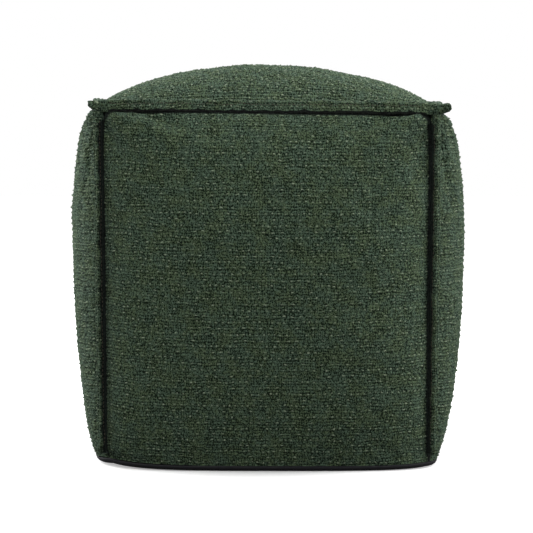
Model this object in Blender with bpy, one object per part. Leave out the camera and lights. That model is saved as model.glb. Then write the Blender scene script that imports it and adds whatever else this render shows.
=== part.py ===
"""Cube pouf stool: a filled cloth cube with pinched seams, corner ears and a plain base panel.

Run it with blender --background --python part.py, or from Blender's text editor. Units are metres
and +Z is up. The front faces -Y, and the origin is on the floor under the middle of the base.
"""

import math
from typing import NamedTuple

import bmesh
import bpy
from mathutils import Vector

# Plan: distances from the middle of the pouf.
FULL_HALF = 0.225  # to the fullest point of a side
SEAM_HALF_TOP = 0.1815  # to an upright seam, where it meets the top seam
SEAM_HALF_BASE = 0.1785  # the same, just above the base
TOP_SEAM_BOW = 0.012  # how far a top seam bows out between its corners

# Heights.
CROWN_RISE = 0.0535  # from the top seam to the top of the crown
CROWN_POWER = 0.66  # 1 is a parabola, less is boxier
CROWN_LEAN = 0.02  # the crown's peak sits a little to the left
TOP_SEAM_SAG = 0.0015  # a top seam is this much lower between its corners
SHOULDER_POWER = 0.57  # roundness of a side above its fullest height
HIP_POWER = 1.5  # roundness of a side below it
FOOT_SHARE = 0.03  # of a side's height, over which it is led to the base panel's outline

# A seam pulls the cloth in: the panel regains SEAM_PUFF over a few times SEAM_RUN.
SEAM_PUFF = 0.007
SEAM_RUN = 0.006

# Pinched seams: lips of folded cloth.
LIP_REACH = 0.011
LIP_THICKNESS = 0.005
LIP_TIP_ROUND = 0.0022
LIP_ROOT_ROUND = 0.0014
LIP_ROOT_GAP = 0.0010
LIP_FOOT_HEIGHT = 0.014
LIP_TOP_DROP = 0.0045  # an upright lip ends this far under the top seam
LIP_RISE_ANGLE = math.radians(45)
EAR_RUN_SHARE = 0.05  # of half a seam's length

# Base panel: a sheet whose edge turns up in a quarter round.
SHEET = 0.002
RIM_RADIUS = 0.006
RIM_TRIM_ANGLE = math.radians(5)
CORNER_LIFT_POWER = 3
CORNER_LIFT_RUN = 0.05
MARGIN_INSETS = (0.020, CORNER_LIFT_RUN)  # rings between the rim and the flat middle

GAP = 0.0003  # between one piece and the next
UNDER_GAP = 0.0005  # between the base panel and the filled body on it

# Mesh density: divisions along one edge.
PANEL_DIVISIONS = 18
TOP_LIP_DIVISIONS = 12
UPRIGHT_LIP_DIVISIONS = 8
RIM_STEPS = 2

SHARP_ANGLE = math.radians(50)  # steeper edges than this are shaded sharp
NEAR = 1e-6  # heights this close are the same


class Side(NamedTuple):
    """One side panel, turned quarter_turns anticlockwise from the front."""

    name: str
    quarter_turns: int
    fullest: float  # height of its fullest point, as a share of its height
    base_half: float  # from the middle of the pouf to the middle of its lower edge


class Corner(NamedTuple):
    """The corner at the end of the side of the same quarter_turns."""

    name: str
    seam_height: float
    ear_out: float  # how far its ear stands out beyond the lips
    ear_up: float  # how far its ear rises above them
    base_half: float  # out to the rounded corner of the base panel, along X and Y alike
    base_lift: float  # how far that corner is off the floor


SIDES = (
    Side("front", 0, 0.55, 0.203),
    Side("right", 1, 0.52, 0.192),
    Side("back", 2, 0.55, 0.203),
    Side("left", 3, 0.60, 0.197),
)
CORNERS = (
    Corner("front_right", 0.3945, 0.010, 0.000, 0.180, 0.002),
    Corner("back_right", 0.3950, 0.008, 0.001, 0.178, 0.003),
    Corner("back_left", 0.3965, 0.007, 0.002, 0.178, 0.003),
    Corner("front_left", 0.3970, 0.004, 0.003, 0.176, 0.005),
)


def clear_scene():
    """Remove every object of the open scene."""
    for old in list(bpy.data.objects):
        bpy.data.objects.remove(old, do_unlink=True)


def spread(share):
    """Move evenly spaced values in -1..1 closer together near both ends."""
    return math.sin(share * math.pi / 2)


def smooth_step(share):
    """0 below 0, 1 above 1, and a smooth rise between."""
    share = min(max(share, 0.0), 1.0)
    return share * share * (3 - 2 * share)


def turned(along, out, up, quarter_turns):
    """World place of a point given along, out from and up a side."""
    x, y = along, -out
    for _ in range(quarter_turns % 4):
        x, y = -y, x
    return Vector((x, y, up))


def squared(half, corner_half, u):
    """Distance out to a rounded-square outline, on the ray at u of half a side."""
    power = math.log(2) / math.log(half / corner_half)
    return half * (1 + abs(u) ** power) ** (-1 / power)


def recovered(distance):
    """Share of its fullness that a panel has regained at a distance from a seam."""
    return 1 - math.exp(-distance / SEAM_RUN)


def corner_at(side, u):
    """The corner nearer to u of half a side."""
    return CORNERS[side.quarter_turns if u > 0 else side.quarter_turns - 1]


def base_lift(side, u):
    """How far the base's edge is off the floor, at u of half a side."""
    return corner_at(side, u).base_lift * abs(u) ** CORNER_LIFT_POWER


def top_seam_height(side, u):
    """Height of a side's top seam at u of half a side."""
    start, end = corner_at(side, -1).seam_height, corner_at(side, 1).seam_height
    return start + (end - start) * (u + 1) / 2 - TOP_SEAM_SAG * (1 - u * u)


def foot_share(t):
    """0 at the base panel, rising to 1 a little above it."""
    return smooth_step(t / FOOT_SHARE)


def seam_half(t):
    """Distance from the middle to an upright seam, at the share t of its height."""
    return SEAM_HALF_BASE + (SEAM_HALF_TOP - SEAM_HALF_BASE) * t


def upright_half(corner, t):
    """The same, but led to the corner of the base panel at its foot."""
    return corner.base_half + (seam_half(t) - corner.base_half) * foot_share(t)


def side_half(side, t):
    """Distance from the middle to the middle of a side, without its puff."""
    full = FULL_HALF - SEAM_PUFF
    if t < side.fullest:
        share = (1 - t / side.fullest) ** HIP_POWER
        return full + (side.base_half - full) * share
    share = ((t - side.fullest) / (1 - side.fullest)) ** 2
    top = SEAM_HALF_TOP + TOP_SEAM_BOW
    return top + (full - top) * (1 - share) ** SHOULDER_POWER


def side_point(side, u, t):
    """Point of a side panel: u runs -1..1 between its upright seams, t 0..1 from base to top seam."""
    corner_half = upright_half(corner_at(side, u), t)
    out = squared(side_half(side, t), corner_half, u)
    foot = RIM_RADIUS + base_lift(side, u) + GAP
    head = top_seam_height(side, u)
    height = foot + (head - foot) * t
    puff = recovered((1 - abs(u)) * corner_half) * recovered(head - height) * foot_share(t)
    return turned(u * out, out + SEAM_PUFF * puff, height, side.quarter_turns)


def side_share(cx, cy):
    """The side that a ray from the middle meets, and how far along it."""
    if abs(cx) > abs(cy):
        return (SIDES[1], cy / cx) if cx > 0 else (SIDES[3], cy / cx)
    if cy > 0:
        return SIDES[2], -cx / cy
    return SIDES[0], -cx / cy if cy else 0.0


def crown_point(cx, cy):
    """Point of the top panel, for a place in the square from -1 to 1."""
    ring = max(abs(cx), abs(cy))
    side, u = side_share(cx, cy)
    u = spread(u)
    scale = spread(ring)
    edge = side_point(side, u, 1.0)
    rise = ((1 - scale**2) * (1 - (u * scale) ** 2)) ** CROWN_POWER
    lean = 1 - CROWN_LEAN * edge.x * scale / SEAM_HALF_TOP
    middle = sum(corner.seam_height for corner in CORNERS) / len(CORNERS)
    height = middle + (edge.z - middle) * scale + CROWN_RISE * rise * lean
    return Vector((edge.x * scale, edge.y * scale, height))


def rim_section(offset, first_angle):
    """Insets and heights down a face of the base sheet, from its rim to its flat middle."""
    section = []
    for step in range(RIM_STEPS + 1):
        angle = first_angle + (math.pi / 2 - first_angle) * step / RIM_STEPS
        inset = RIM_RADIUS - (RIM_RADIUS - offset) * math.cos(angle)
        height = RIM_RADIUS - (RIM_RADIUS - offset) * math.sin(angle)
        section.append((inset, height))
    return section + [(inset, offset) for inset in MARGIN_INSETS]


def base_point(cx, cy, inset, height):
    """Point of the base, on the ray through a place on the border of the square from -1 to 1."""
    side, u = side_share(cx, cy)
    u = spread(u)
    scale = 1 - inset / side.base_half
    out = squared(side.base_half, corner_at(side, u).base_half, u) * scale
    lift = base_lift(side, u) * (1 - inset / CORNER_LIFT_RUN) ** 2
    return turned(u * out, out, height + lift, side.quarter_turns)


def one_face(mesh, faces):
    """Join flat faces into one, without the points inside it."""
    return bmesh.ops.dissolve_faces(mesh, faces=faces, use_verts=False)["region"][0]


def extrude_down(mesh, face, count):
    """Extrude a face straight down, one unit at a time; a loose face leaves itself as the top."""
    for _ in range(count):
        closed = not any(edge.is_boundary for edge in face.edges)
        made = bmesh.ops.extrude_face_region(mesh, geom=[face])["geom"]
        if closed:
            bmesh.ops.delete(mesh, geom=[face], context="FACES_ONLY")
        face = next(item for item in made if isinstance(item, bmesh.types.BMFace))
        bmesh.ops.translate(mesh, verts=face.verts[:], vec=(0, 0, -1))


def body_point(place, section):
    """Place on the filled body of a point of the cube from -1 to 1, or of the rings from -2 down."""
    if place.z > 1 - NEAR:
        return crown_point(place.x, place.y)
    ring = round(-place.z) - 2
    if ring >= 0:
        return base_point(place.x, place.y, *section[ring])
    side, u = side_share(place.x, place.y)
    return side_point(side, spread(u), (spread(place.z) + 1) / 2)


def body_mesh():
    """The filled body: crown, four bulging sides and the underside within the base panel."""
    mesh = bmesh.new()
    bmesh.ops.create_cube(mesh, size=2)
    bmesh.ops.subdivide_edges(mesh, edges=mesh.edges[:], cuts=PANEL_DIVISIONS - 1, use_grid_fill=True)
    section = rim_section(SHEET + UNDER_GAP, 0.0)
    under = one_face(mesh, [face for face in mesh.faces if face.calc_center_median().z < NEAR - 1])
    extrude_down(mesh, under, len(section))
    for vertex in mesh.verts:
        vertex.co = body_point(vertex.co, section)
    return mesh


def base_panel_mesh():
    """The base panel: a sheet, flat on the floor, with its edge turned up."""
    mesh = bmesh.new()
    bmesh.ops.create_grid(mesh, x_segments=PANEL_DIVISIONS, y_segments=PANEL_DIVISIONS, size=1)
    outside = rim_section(0.0, RIM_TRIM_ANGLE)
    inside = rim_section(SHEET, RIM_TRIM_ANGLE)
    section = outside[::-1] + inside
    extrude_down(mesh, one_face(mesh, mesh.faces[:]), len(section) - 1)
    for vertex in mesh.verts:
        vertex.co = base_point(vertex.co.x, vertex.co.y, *section[round(-vertex.co.z)])
    return mesh


def lip_blank(divisions):
    """A straight lip, 1 long in X: its root is at Z 0, its rounded tip at LIP_REACH."""
    mesh = bmesh.new()
    bmesh.ops.create_cube(mesh, size=1)
    bmesh.ops.translate(mesh, verts=mesh.verts[:], vec=(0.5, 0, 0.5))
    bmesh.ops.scale(mesh, verts=mesh.verts[:], vec=(1, LIP_THICKNESS, LIP_REACH))
    for height, radius, segments in ((LIP_REACH, LIP_TIP_ROUND, 2), (0.0, LIP_ROOT_ROUND, 1)):
        edges = [
            edge
            for edge in mesh.edges
            if edge.calc_length() > 0.5 and abs(edge.verts[0].co.z - height) < NEAR
        ]
        bmesh.ops.bevel(
            mesh, geom=edges, offset=radius, segments=segments, profile=0.5, affect="EDGES", material=-1
        )
    long_edges = [edge for edge in mesh.edges if edge.calc_length() > 0.5]
    bmesh.ops.subdivide_edges(mesh, edges=long_edges, cuts=divisions - 1)
    return mesh


def top_lip_mesh(side):
    """The lip along one top seam, mitred at both corners, where it grows into an ear."""
    mesh = lip_blank(TOP_LIP_DIVISIONS)
    for vertex in mesh.verts:
        along, across, reach = vertex.co
        u = spread(2 * along - 1)
        corner = corner_at(side, u)
        ear = math.exp(-(1 - abs(u)) / EAR_RUN_SHARE) * reach / LIP_REACH
        u *= 1 - GAP / SEAM_HALF_TOP
        root = squared(SEAM_HALF_TOP + TOP_SEAM_BOW, SEAM_HALF_TOP, u)
        reach += LIP_ROOT_GAP
        out = root + reach * math.cos(LIP_RISE_ANGLE) - across * math.sin(LIP_RISE_ANGLE)
        out += corner.ear_out * ear
        up = reach * math.sin(LIP_RISE_ANGLE) + across * math.cos(LIP_RISE_ANGLE) + corner.ear_up * ear
        vertex.co = turned(u * out, out, top_seam_height(side, u) + up, side.quarter_turns)
    return mesh


def upright_lip_mesh(side):
    """The lip down the upright seam at the end of a side, standing out along the corner's diagonal."""
    mesh = lip_blank(UPRIGHT_LIP_DIVISIONS)
    corner = corner_at(side, 1)
    outward = turned(1, 1, 0, side.quarter_turns).normalized()
    sideways = turned(1, -1, 0, side.quarter_turns).normalized()
    top = corner.seam_height - LIP_TOP_DROP
    foot = RIM_RADIUS + corner.base_lift + GAP
    for vertex in mesh.verts:
        along, across, reach = vertex.co
        height = LIP_FOOT_HEIGHT + (top - LIP_FOOT_HEIGHT) * along
        t = (height - foot) / (corner.seam_height - foot)
        half = max(seam_half(t), upright_half(corner, t))
        root = turned(half, half, height, side.quarter_turns)
        vertex.co = root + outward * (LIP_ROOT_GAP + reach) + sideways * across
    return mesh


def cloth(name, colour, roughness):
    """A plain material of one colour."""
    material = bpy.data.materials.new(name)
    material.use_nodes = True
    shader = material.node_tree.nodes["Principled BSDF"]
    shader.inputs["Base Color"].default_value = (*colour, 1)
    shader.inputs["Roughness"].default_value = roughness
    shader.inputs["Metallic"].default_value = 0
    return material


def add_piece(name, mesh, material, collection):
    """Store a finished mesh as an object of its own."""
    bmesh.ops.recalc_face_normals(mesh, faces=mesh.faces[:])
    if mesh.calc_volume(signed=True) < 0:
        bmesh.ops.reverse_faces(mesh, faces=mesh.faces[:])
    data = bpy.data.meshes.new(name)
    mesh.to_mesh(data)
    mesh.free()
    data.materials.append(material)
    data.shade_smooth()
    data.set_sharp_from_angle(angle=SHARP_ANGLE)
    piece = bpy.data.objects.new(name, data)
    collection.objects.link(piece)


def main():
    """Model the pouf."""
    clear_scene()
    pouf = bpy.data.collections.new("cube_pouf_stool")
    bpy.context.scene.collection.children.link(pouf)
    green = cloth("Green boucle cloth", (0.035, 0.062, 0.042), 0.95)
    lip_green = cloth("Green boucle seam lip", (0.03, 0.052, 0.036), 0.95)
    black = cloth("Black base cloth", (0.008, 0.008, 0.011), 0.8)
    add_piece("body", body_mesh(), green, pouf)
    add_piece("base_panel", base_panel_mesh(), black, pouf)
    for side in SIDES:
        add_piece(f"top_seam_{side.name}", top_lip_mesh(side), lip_green, pouf)
        add_piece(f"upright_seam_{corner_at(side, 1).name}", upright_lip_mesh(side), lip_green, pouf)


main()
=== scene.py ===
"""Looks of a cube pouf stool: green boucle panels over the filling, pinched seam lips, ears and a base panel.

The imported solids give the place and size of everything. Units are metres, +Z is up and the front faces -Y.
"""

import logging
import math
from dataclasses import dataclass, field
from enum import Enum

import bmesh
import bpy
import numpy as np
from mathutils import Matrix, Vector


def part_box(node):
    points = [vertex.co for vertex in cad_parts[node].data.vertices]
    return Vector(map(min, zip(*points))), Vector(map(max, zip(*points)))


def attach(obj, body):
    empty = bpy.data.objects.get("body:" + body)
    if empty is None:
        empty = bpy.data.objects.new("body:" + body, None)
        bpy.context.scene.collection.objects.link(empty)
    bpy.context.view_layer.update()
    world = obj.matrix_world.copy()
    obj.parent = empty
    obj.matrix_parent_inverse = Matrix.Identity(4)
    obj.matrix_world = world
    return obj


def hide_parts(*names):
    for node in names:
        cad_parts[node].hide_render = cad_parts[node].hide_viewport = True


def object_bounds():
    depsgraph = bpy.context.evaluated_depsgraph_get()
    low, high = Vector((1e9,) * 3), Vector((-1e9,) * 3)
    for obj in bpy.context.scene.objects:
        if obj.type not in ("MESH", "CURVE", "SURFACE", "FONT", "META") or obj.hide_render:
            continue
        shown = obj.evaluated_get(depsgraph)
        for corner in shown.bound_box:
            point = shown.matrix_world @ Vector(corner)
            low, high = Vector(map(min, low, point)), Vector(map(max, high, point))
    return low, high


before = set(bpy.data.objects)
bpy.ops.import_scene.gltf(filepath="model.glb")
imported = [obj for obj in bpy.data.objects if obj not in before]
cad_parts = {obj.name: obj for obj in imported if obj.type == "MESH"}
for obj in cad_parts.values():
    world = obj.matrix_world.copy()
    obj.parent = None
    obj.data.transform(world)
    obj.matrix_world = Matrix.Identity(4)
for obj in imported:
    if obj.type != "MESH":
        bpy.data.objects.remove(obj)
CAD_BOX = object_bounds()

LOG = logging.getLogger("cube_pouf")
ROOT = "root"
MM = 0.001
TINY = 1e-6
CLOTH_MAP = "cloth"
# A vertex value: 0 in the middle of the painted shade along a seam crease and 1 at its edge; it also flattens
# the relief there.
SEAM_GAP = "seam_gap"
Colour = tuple[float, float, float]


class Place(Enum):
    """Places on the pouf, whose names its pieces take."""

    @property
    def word(self) -> str:
        """The place's name in lower case."""
        return self.name.lower()


class Way(Place):
    """The four sides, by their quarter turns anticlockwise from the front."""

    FRONT = 0
    RIGHT = 1
    BACK = 2
    LEFT = 3


@dataclass(frozen=True)
class SideForm:
    """How one side panel bulges."""

    fullest: float  # height of its fullest point, as a share of its height
    hip_power: float  # how late it draws in below that point
    base_half: float  # from the middle of the pouf to the middle of its lower edge


@dataclass(frozen=True)
class CornerForm:
    """One upright corner, at the end of the side of the same index."""

    name: str
    seam_height: float
    base_half: float
    base_lift: float
    lip_crease: float  # width of the painted shade in the crease at its lip's root
    side_painted_shade: float  # width of the painted shade in the creases of the panels beside the lip


def spread(share: np.ndarray) -> np.ndarray:
    """Values in -1..1, moved closer together near both ends."""
    return np.sin(share * math.pi / 2)


def unspread(place: np.ndarray) -> np.ndarray:
    """The values that spread() moves to these places."""
    return np.arcsin(np.clip(place, -1, 1)) * 2 / math.pi


def smooth_step(share: np.ndarray) -> np.ndarray:
    """0 below 0, 1 above 1, and a smooth rise between."""
    share = np.clip(share, 0, 1)
    return share * share * (3 - 2 * share)


@dataclass(frozen=True)
class Sway:
    """A smooth uneven wave along a seam, of a few sines."""

    amount: float
    length: float  # typical distance between its crests
    seed: int  # which of a seam's waves it is
    sines: int = 4
    slowest: float = 0.6
    quicker: float = 0.37
    evened: float = 2.2

    def at(self, along: np.ndarray, seam_seed: int) -> np.ndarray:
        """How far it sways, up to about its amount either way.

        Args:
            along: distance along the seam.
            seam_seed: which seam.

        Returns:
            The sway at each distance.
        """
        phase = np.random.default_rng(seam_seed + self.seed).random(self.sines) * 2 * math.pi
        turn = along / self.length * 2 * math.pi
        waves = [np.sin(turn * (self.slowest + self.quicker * k) + phase[k]) for k in range(self.sines)]
        return self.amount * (sum(waves) / self.evened)


def rounded_gap(aside: np.ndarray, above: np.ndarray, radius: float) -> np.ndarray:
    """Distance to the nearer of two lines that meet at a right angle in a rounded corner.

    Args:
        aside: distance to the upright line.
        above: distance to the level line.
        radius: radius of the rounded corner.

    Returns:
        The distance, below 0 outside the rounded corner.
    """
    short = np.hypot(np.maximum(radius - aside, 0), np.maximum(radius - above, 0))
    return np.where(short > 0, radius - short, np.minimum(aside, above))


def turned(along: np.ndarray, out: np.ndarray, up: np.ndarray, turns: int) -> np.ndarray:
    """World places of points given along, out from and up a side.

    Args:
        along: distance along the side, from its middle.
        out: distance out from the middle of the pouf.
        up: height.
        turns: quarter turns anticlockwise from the front.

    Returns:
        An array of places with X, Y and Z in its last axis.
    """
    x, y = along, -out
    for _ in range(turns % 4):
        x, y = -y, x
    return np.stack(np.broadcast_arrays(x, y, up), axis=-1)


@dataclass
class PoufForm:
    """The outer form of the pouf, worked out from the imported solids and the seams' own sizes."""

    seam_half_top: float = 0.1815
    seam_half_base: float = 0.1785
    top_seam_bow: float = 0.012
    top_seam_sag: float = 0.0004
    crown_power: float = 0.66
    crown_lean: float = 0.02
    crown_settle: float = 0.0015
    weave_rise: float = 0.0026
    shoulder_power: float = 0.68
    foot_share: float = 0.03
    seam_puff: float = 0.0105
    seam_run: float = 0.0045
    head_squeeze: float = 2.4
    corner_radius: float = 0.014
    squeeze_start: float = 0.5
    # Widths of the painted shade in the panels' seam creases: along a corner's arc, how near the corner that
    # arc takes over, and under the top seam.
    corner_painted_shade: float = 0.0036
    painted_shade_turn: float = 1.6
    head_painted_shade: float = 0.0012
    foot_run: float = 0.030
    rim_radius: float = 0.006
    lift_power: int = 3
    gap: float = 0.0003
    corners: tuple[CornerForm, ...] = (
        CornerForm("front_right", 0.3954, 0.180, 0.002, 0.0060, 0.0021),
        CornerForm("back_right", 0.3950, 0.178, 0.003, 0.0055, 0.0020),
        CornerForm("back_left", 0.3965, 0.178, 0.003, 0.0055, 0.0020),
        CornerForm("front_left", 0.3990, 0.176, 0.005, 0.0088, 0.0009),
    )
    full_half: float = field(init=False)
    crown_rise: float = field(init=False)
    sides: tuple[SideForm, ...] = field(init=False)

    def __post_init__(self) -> None:
        """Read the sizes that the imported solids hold."""
        low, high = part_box("body")
        self.full_half = (high.x - low.x + high.y - low.y) / 4 - self.weave_rise
        self.crown_rise = high.z - sum(c.seam_height for c in self.corners) / 4 - self.crown_settle
        low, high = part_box("base_panel")
        self.sides = (
            SideForm(0.55, 1.5, -low.y),
            SideForm(0.49, 2.0, high.x),
            SideForm(0.55, 1.5, high.y),
            SideForm(0.50, 1.4, -low.x),
        )

    def corner_value(self, way: Way, a: np.ndarray, name: str) -> np.ndarray:
        """A size of the corner nearer to the place a of half a side."""
        start, end = self.corners[way.value - 1], self.corners[way.value]
        return np.where(a > 0, getattr(end, name), getattr(start, name))

    def seam_height(self, way: Way, a: np.ndarray) -> np.ndarray:
        """Height of a side's top seam at the place a of half a side."""
        start, end = self.corners[way.value - 1].seam_height, self.corners[way.value].seam_height
        return start + (end - start) * (a + 1) / 2 - self.top_seam_sag * (1 - a * a)

    def top_seam_out(self, a: np.ndarray) -> np.ndarray:
        """Distance from the middle out to a top seam, at the place a of half a side."""
        half = self.seam_half_top + self.top_seam_bow
        return self.outline(half, self.seam_half_top, a * self.seam_half_top)

    def foot_height(self, way: Way, a: np.ndarray) -> np.ndarray:
        """Height of a side panel's lower edge."""
        lift = self.corner_value(way, a, "base_lift") * np.abs(a) ** self.lift_power
        return self.rim_radius + lift + self.gap

    def upright_half(self, way: Way, a: np.ndarray, t: np.ndarray) -> np.ndarray:
        """Distance from the middle to the nearer upright seam, at the share t of its height.

        Args:
            way: which side.
            a: -1..1 between its upright seams.
            t: share of the seam's height.

        Returns:
            The distance along X and Y alike.
        """
        seam = self.seam_half_base + (self.seam_half_top - self.seam_half_base) * t
        base = self.corner_value(way, a, "base_half")
        return base + (seam - base) * smooth_step(t / self.foot_share)

    def side_half(self, side: SideForm, t: np.ndarray) -> np.ndarray:
        """Distance from the middle to the middle of a side, without its puff.

        Args:
            side: how the side bulges.
            t: share of its height.

        Returns:
            The distance.
        """
        full = self.full_half - self.seam_puff
        below = np.clip(1 - t / side.fullest, 0, 1) ** side.hip_power
        above = np.clip((t - side.fullest) / (1 - side.fullest), 0, 1) ** 2
        top = self.seam_half_top + self.top_seam_bow
        low = full + (side.base_half - full) * below
        high = top + (full - top) * (1 - above) ** self.shoulder_power
        return np.where(t < side.fullest, low, high)

    @staticmethod
    def outline(half: np.ndarray, corner_half: np.ndarray, along: np.ndarray) -> np.ndarray:
        """Distance out to a rounded-square outline, at a distance along its side."""
        power = math.log(2) / np.log(half / corner_half)
        return np.maximum(half**power - np.abs(along) ** power, 0) ** (1 / power)

    def seam_gap(self, aside: np.ndarray, above: np.ndarray) -> np.ndarray:
        """How far a panel's points are from its seams, for its fullness. The top seam counts less.

        Args:
            aside: distance to the upright seam.
            above: distance to the top seam.

        Returns:
            The distance, never below 0.
        """
        free = smooth_step(aside / self.corner_radius - self.squeeze_start)
        squeezed = above * (1 + (self.head_squeeze - 1) * free)
        return np.maximum(rounded_gap(aside, squeezed, self.corner_radius), 0)

    def painted_shade_share(self, aside: np.ndarray, above: np.ndarray, width: np.ndarray) -> np.ndarray:
        """How far a panel's points are from the painted shade in its seam creases, in widths of that shade.

        Args:
            aside: distance to the upright seam.
            above: distance to the top seam.
            width: width of the painted shade beside the upright seam.

        Returns:
            0 in the middle of the painted crease shade and 1 at its edge. At the corner the painted shade is
            an arc, clear of both seams.
        """
        arc = np.abs(rounded_gap(aside, above, self.corner_radius)) / self.corner_painted_shade
        straight = np.minimum(aside / width, above / self.head_painted_shade)
        return straight + (arc - straight) * self.near_corner(aside) * self.near_corner(above)

    def near_corner(self, distance: np.ndarray) -> np.ndarray:
        """1 close to a seam and 0 beyond about a corner's radius from it."""
        return smooth_step(2 - distance / self.corner_radius * self.painted_shade_turn)

    def seam_distances(self, way: Way, a: np.ndarray, b: np.ndarray) -> tuple[np.ndarray, np.ndarray]:
        """Distances of a side panel's points, seen square on, to its nearer upright seam and its top seam.

        Args:
            way: which side.
            a: -1..1 between its upright seams.
            b: -1..1 from the base to the top seam.

        Returns:
            The distance to the upright seam and the distance to the top seam.
        """
        t = (b + 1) / 2
        height = self.seam_height(way, a) - self.foot_height(way, a)
        return (1 - np.abs(a)) * self.upright_half(way, a, t), height * (1 - t)

    def recovered(self, distance: np.ndarray) -> np.ndarray:
        """Share of its fullness that a panel has regained at a distance from a seam."""
        return 1 - np.exp(-distance / self.seam_run)

    def side_points(self, way: Way, a: np.ndarray, b: np.ndarray) -> np.ndarray:
        """Places of a side panel.

        Args:
            way: which side.
            a: -1..1 between its upright seams.
            b: -1..1 from the base to the top seam.

        Returns:
            World places.
        """
        t = (b + 1) / 2
        side = self.sides[way.value]
        corner_half = self.upright_half(way, a, t)
        out = self.outline(self.side_half(side, t), corner_half, a * corner_half)
        foot, head = self.foot_height(way, a), self.seam_height(way, a)
        height = foot + (head - foot) * t
        puff = self.recovered(self.seam_gap(*self.seam_distances(way, a, b)))
        puff = puff * (1 - np.exp(-(height - foot) / self.foot_run))
        return turned(a * corner_half, out + self.seam_puff * puff, height, way.value)

    def top_points(self, a: np.ndarray, b: np.ndarray) -> np.ndarray:
        """Places of the top panel, for a from left to right and b from front to back, both -1..1.

        Args:
            a: -1..1 from left to right.
            b: -1..1 from front to back.

        Returns:
            World places.
        """
        x, y = a * self.top_seam_out(b), b * self.top_seam_out(a)
        heights = [corner.seam_height for corner in self.corners]
        front = heights[3] + (heights[0] - heights[3]) * (a + 1) / 2
        back = heights[2] + (heights[1] - heights[2]) * (a + 1) / 2
        rim = front + (back - front) * (b + 1) / 2
        rim = rim - self.top_seam_sag * ((1 - a * a) * b * b + (1 - b * b) * a * a)
        rise = np.maximum((1 - a * a) * (1 - b * b), 0) ** self.crown_power
        lean = 1 - self.crown_lean * x / self.seam_half_top
        return np.stack([x, y, rim + self.crown_rise * rise * lean], axis=-1)


class PanelPlace(Place):
    """The five cloth panels, with the cube face that each covers: its axis and its sign."""

    TOP = (2, 1)
    FRONT = (1, -1)
    RIGHT = (0, 1)
    BACK = (1, 1)
    LEFT = (0, -1)

    def holds(self, cube: np.ndarray) -> np.ndarray:
        """Which of a cube's points are on this panel."""
        axis, sign = self.value
        return np.abs(cube[:, axis] - sign) < TINY

    def squares(self, cube: np.ndarray) -> tuple[np.ndarray, np.ndarray]:
        """The two places, from -1 to 1, of a cube's points on this panel.

        Args:
            cube: the points of a cube from -1 to 1.

        Returns:
            The places across the panel and the places up it.
        """
        across = {
            PanelPlace.TOP: cube[:, 0],
            PanelPlace.FRONT: cube[:, 0],
            PanelPlace.RIGHT: cube[:, 1],
            PanelPlace.BACK: -cube[:, 0],
            PanelPlace.LEFT: -cube[:, 1],
        }[self]
        return across, (cube[:, 1] if self is PanelPlace.TOP else cube[:, 2])

    def points(self, form: PoufForm, a: np.ndarray, b: np.ndarray) -> np.ndarray:
        """World places of this panel's points.

        Args:
            form: the form of the pouf.
            a: -1..1 across it.
            b: -1..1 up it.

        Returns:
            World places.
        """
        if self is PanelPlace.TOP:
            return form.top_points(a, b)
        return form.side_points(Way[self.name], a, b)


def mesh_points(data: bpy.types.Mesh) -> np.ndarray:
    """The places of a mesh's vertices.

    Args:
        data: the mesh.

    Returns:
        A row of X, Y and Z for each vertex.
    """
    found = np.empty(len(data.vertices) * 3, np.float32)
    data.vertices.foreach_get("co", found)
    return found.reshape(-1, 3).astype(float)


def place_points(data: bpy.types.Mesh, points: np.ndarray) -> None:
    """Move a mesh's vertices to these places."""
    data.vertices.foreach_set("co", points.astype(np.float32).ravel())
    data.update()


def new_object(name: str, data: bpy.types.ID) -> bpy.types.Object:
    """An object in the scene, at the origin.

    Args:
        name: its name.
        data: its mesh, light or camera.

    Returns:
        The object.
    """
    made = bpy.data.objects.new(name, data)
    bpy.context.scene.collection.objects.link(made)
    return made


def finished(mesh: bmesh.types.BMesh, name: str) -> bpy.types.Mesh:
    """Store a bmesh as a smooth mesh and free it.

    Args:
        mesh: the bmesh.
        name: the mesh's name.

    Returns:
        The mesh.
    """
    data = bpy.data.meshes.new(name)
    mesh.to_mesh(data)
    mesh.free()
    data.shade_smooth()
    return data


def set_map(data: bpy.types.Mesh, places: np.ndarray) -> None:
    """Give a mesh its cloth map, in metres along and across the weave.

    Args:
        data: the mesh.
        places: a place on the cloth for each vertex.
    """
    layer = data.uv_layers.new(name=CLOTH_MAP)
    corner = np.empty(len(data.loops), np.int32)
    data.loops.foreach_get("vertex_index", corner)
    layer.uv.foreach_set("vector", places[corner].astype(np.float32).ravel())


def set_value(data: bpy.types.Mesh, name: str, values: np.ndarray) -> None:
    """Give each vertex of a mesh a number."""
    data.attributes.new(name, "FLOAT", "POINT").data.foreach_set("value", values.astype(np.float32))


def dress_piece(
    piece: bpy.types.Object, material: bpy.types.Material, stands_for: str | None = None
) -> None:
    """Give a piece its finish and its place in the frame.

    Args:
        piece: the piece.
        material: its finish.
        stands_for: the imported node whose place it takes, if any.
    """
    piece.data.materials.append(material)
    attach(piece, ROOT)
    if stands_for:
        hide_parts(stands_for)


def apply_modifiers(piece: bpy.types.Object) -> None:
    """Keep what an object's modifiers make, and remove them.

    Args:
        piece: the object.
    """
    bpy.context.view_layer.update()
    shown = bpy.context.evaluated_depsgraph_get()
    made = bpy.data.meshes.new_from_object(
        piece.evaluated_get(shown), preserve_all_data_layers=True, depsgraph=shown
    )
    old = piece.data
    piece.modifiers.clear()
    piece.data = made
    bpy.data.meshes.remove(old)
    made.name = piece.name
    made.shade_smooth()


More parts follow.
